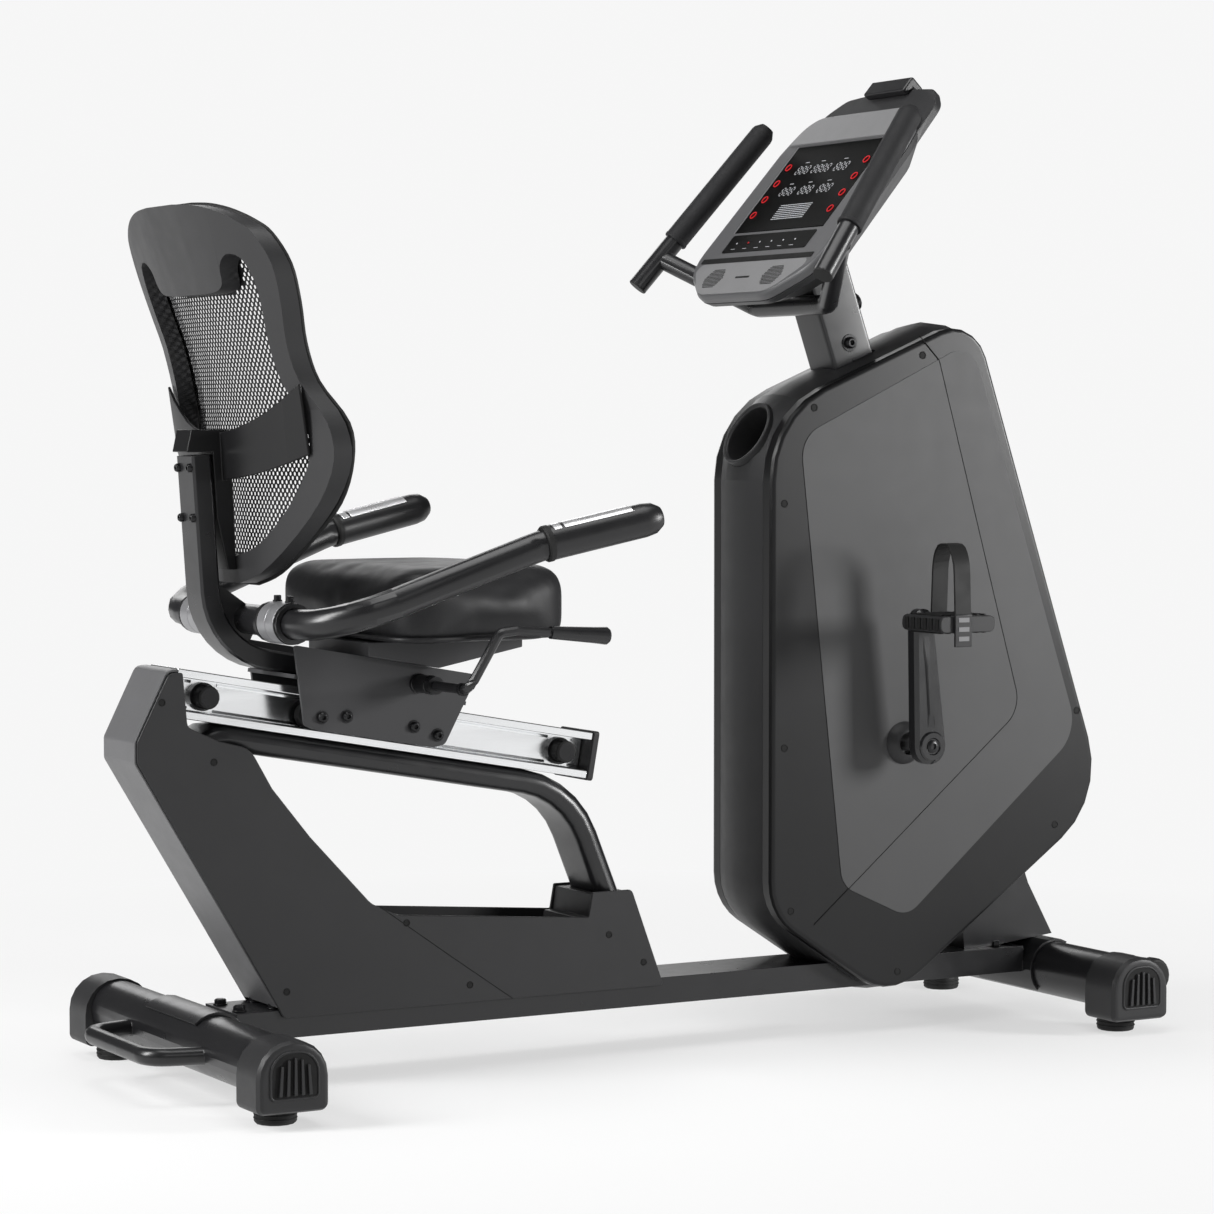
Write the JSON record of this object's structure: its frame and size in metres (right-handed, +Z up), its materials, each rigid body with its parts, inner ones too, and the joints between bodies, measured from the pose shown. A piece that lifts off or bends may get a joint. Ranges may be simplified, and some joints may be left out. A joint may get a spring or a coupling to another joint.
{
  "type": "recumbent exercise bike",
  "caption": "Recumbent exercise bike: a mesh-backed seat slides on an inclined aluminium rail behind an enclosed pedal drive and a tilted console.",
  "frame": {"origin": "centre of the bike's outline, on the floor", "axes": "+X from the seat towards the console, +Y to the rider's left, +Z up"},
  "size_m": [1.4707, 0.6868, 1.3135],
  "materials": {
    "black_paint": "satin black powder coat on steel",
    "grey_paint": "satin silver-grey paint on steel plate",
    "crank_paint": "smooth black paint",
    "charcoal_plastic": "fine-textured charcoal moulding",
    "grey_plastic": "silver-grey moulding",
    "black_rubber": "matt black rubber",
    "grip_foam": "soft foam sleeve",
    "seat_vinyl": "black vinyl over foam",
    "back_fabric": "open knitted mesh",
    "polished_aluminium": "bright extruded aluminium",
    "bare_steel": "machined steel",
    "display_glass": "gloss black display window"
  },
  "bodies": {
    "frame": {"main_frame": "black_paint", "rear_stabiliser": "black_paint", "front_stabiliser": "black_paint", "rear_end_cap_right": "charcoal_plastic", "rear_end_cap_left": "charcoal_plastic", "front_end_cap_right": "charcoal_plastic", "front_end_cap_left": "charcoal_plastic", "support_hoop": "black_paint", "seat_rail": "polished_aluminium", "rail_stop_rear": "black_rubber", "rail_stop_front": "black_rubber", "rail_end_cap": "charcoal_plastic", "shroud_right": "charcoal_plastic", "shroud_left": "charcoal_plastic", "shroud_back": "grey_plastic", "storage_tray": "charcoal_plastic", "casing_right": "charcoal_plastic", "casing_left": "charcoal_plastic", "casing_band": "charcoal_plastic", "bottle_holder": "charcoal_plastic", "mast": "black_paint", "handlebar": "black_paint", "handlebar_grip_right": "grip_foam", "handlebar_grip_left": "grip_foam", "console_back": "charcoal_plastic", "console_face": "grey_plastic", "display_panel": "display_glass", "drive_belt": "black_rubber"},
    "cranks": {"crank_axle": "bare_steel", "crank_right": "crank_paint", "crank_left": "crank_paint"},
    "right_pedal": {"pedal_right": "charcoal_plastic", "pedal_strap_right": "black_rubber"},
    "left_pedal": {"pedal_left": "charcoal_plastic", "pedal_strap_left": "black_rubber"},
    "flywheel_body": {"flywheel": "bare_steel"},
    "brake": {"brake_arm": "bare_steel"},
    "clip": {"media_clip": "charcoal_plastic"},
    "right_wheel": {"transport_wheel_right": "black_rubber"},
    "left_wheel": {"transport_wheel_left": "black_rubber"},
    "foot_rear_right": {"rear_foot_right": "black_rubber"},
    "foot_rear_left": {"rear_foot_left": "black_rubber"},
    "foot_front_right": {"front_foot_right": "black_rubber"},
    "foot_front_left": {"front_foot_left": "black_rubber"},
    "carriage": {"seat_carriage": "grey_paint", "seat_post": "black_paint", "seat_pan": "grey_plastic", "seat_cushion": "seat_vinyl", "back_frame": "charcoal_plastic", "back_mesh": "back_fabric", "lumbar_band": "charcoal_plastic", "side_handle_right": "black_paint", "side_handle_left": "black_paint", "side_grip_right": "black_rubber", "side_grip_left": "black_rubber"},
    "lever": {"seat_lever": "black_paint"},
    "rear_right_roller": {"roller_rear_right": "black_rubber"},
    "rear_left_roller": {"roller_rear_left": "black_rubber"},
    "front_right_roller": {"roller_front_right": "black_rubber"},
    "front_left_roller": {"roller_front_left": "black_rubber"}
  },
  "joints": [
    {"name": "crank_spin", "type": "hinge", "parent": "frame", "child": "cranks", "pos_m": [0.4011, 0, 0.399], "axis": [0, 1, 0], "continuous": true},
    {"name": "pedal_right_spin", "type": "hinge", "parent": "cranks", "child": "right_pedal", "pos_m": [0.3891, -0.2, 0.5706], "axis": [0, 1, 0], "continuous": true},
    {"name": "pedal_left_spin", "type": "hinge", "parent": "cranks", "child": "left_pedal", "pos_m": [0.4131, 0.2, 0.2274], "axis": [0, 1, 0], "continuous": true},
    {"name": "flywheel_spin", "type": "hinge", "parent": "frame", "child": "flywheel_body", "pos_m": [0.3001, 0, 0.62], "axis": [0, 1, 0], "continuous": true},
    {"name": "brake_swing", "type": "hinge", "parent": "frame", "child": "brake", "pos_m": [0.3501, 0, 0.5], "axis": [0, 1, 0], "range_deg": [-5, 0]},
    {"name": "media_clip_slide", "type": "slide", "parent": "frame", "child": "clip", "axis": [0.6508, 0, 0.7593], "range_m": [0, 0.03], "stiffness_N_per_m": 60, "springref_m": -0.02},
    {"name": "transport_wheel_right_spin", "type": "hinge", "parent": "frame", "child": "right_wheel", "pos_m": [0.7021, -0.244, 0.076], "axis": [0, 1, 0], "continuous": true},
    {"name": "transport_wheel_left_spin", "type": "hinge", "parent": "frame", "child": "left_wheel", "pos_m": [0.7021, 0.244, 0.076], "axis": [0, 1, 0], "continuous": true},
    {"name": "rear_foot_right_screw", "type": "slide", "parent": "frame", "child": "foot_rear_right", "axis": [0, 0, -1], "range_m": [0, 0.015]},
    {"name": "rear_foot_left_screw", "type": "slide", "parent": "frame", "child": "foot_rear_left", "axis": [0, 0, -1], "range_m": [0, 0.015]},
    {"name": "front_foot_right_screw", "type": "slide", "parent": "frame", "child": "foot_front_right", "axis": [0, 0, -1], "range_m": [0, 0.015]},
    {"name": "front_foot_left_screw", "type": "slide", "parent": "frame", "child": "foot_front_left", "axis": [0, 0, -1], "range_m": [0, 0.015]},
    {"name": "seat_slide", "type": "slide", "parent": "frame", "child": "carriage", "axis": [0.9845, 0, -0.1754], "range_m": [-0.105, 0.16]},
    {"name": "lever_lift", "type": "hinge", "parent": "carriage", "child": "lever", "pos_m": [-0.3424, -0.1, 0.507], "axis": [0, -1, 0], "range_deg": [0, 25], "stiffness_Nm_per_rad": 1.5, "springref_deg": -20.05},
    {"name": "roller_rear_right_spin", "type": "hinge", "parent": "carriage", "child": "rear_right_roller", "pos_m": [-0.4778, -0.032, 0.4687], "axis": [0, 1, 0], "continuous": true},
    {"name": "roller_rear_left_spin", "type": "hinge", "parent": "carriage", "child": "rear_left_roller", "pos_m": [-0.4778, 0.032, 0.4687], "axis": [0, 1, 0], "continuous": true},
    {"name": "roller_front_right_spin", "type": "hinge", "parent": "carriage", "child": "front_right_roller", "pos_m": [-0.3153, -0.032, 0.4398], "axis": [0, 1, 0], "continuous": true},
    {"name": "roller_front_left_spin", "type": "hinge", "parent": "carriage", "child": "front_left_roller", "pos_m": [-0.3153, 0.032, 0.4398], "axis": [0, 1, 0], "continuous": true}
  ],
  "couplings": [
    {"joint": "flywheel_spin", "follows": "crank_spin", "ratio": 6.25},
    {"joint": "roller_rear_right_spin", "follows": "seat_slide", "rad_per_m": 59.88},
    {"joint": "roller_rear_left_spin", "follows": "seat_slide", "rad_per_m": 59.88},
    {"joint": "roller_front_right_spin", "follows": "seat_slide", "rad_per_m": 59.88},
    {"joint": "roller_front_left_spin", "follows": "seat_slide", "rad_per_m": 59.88}
  ]
}
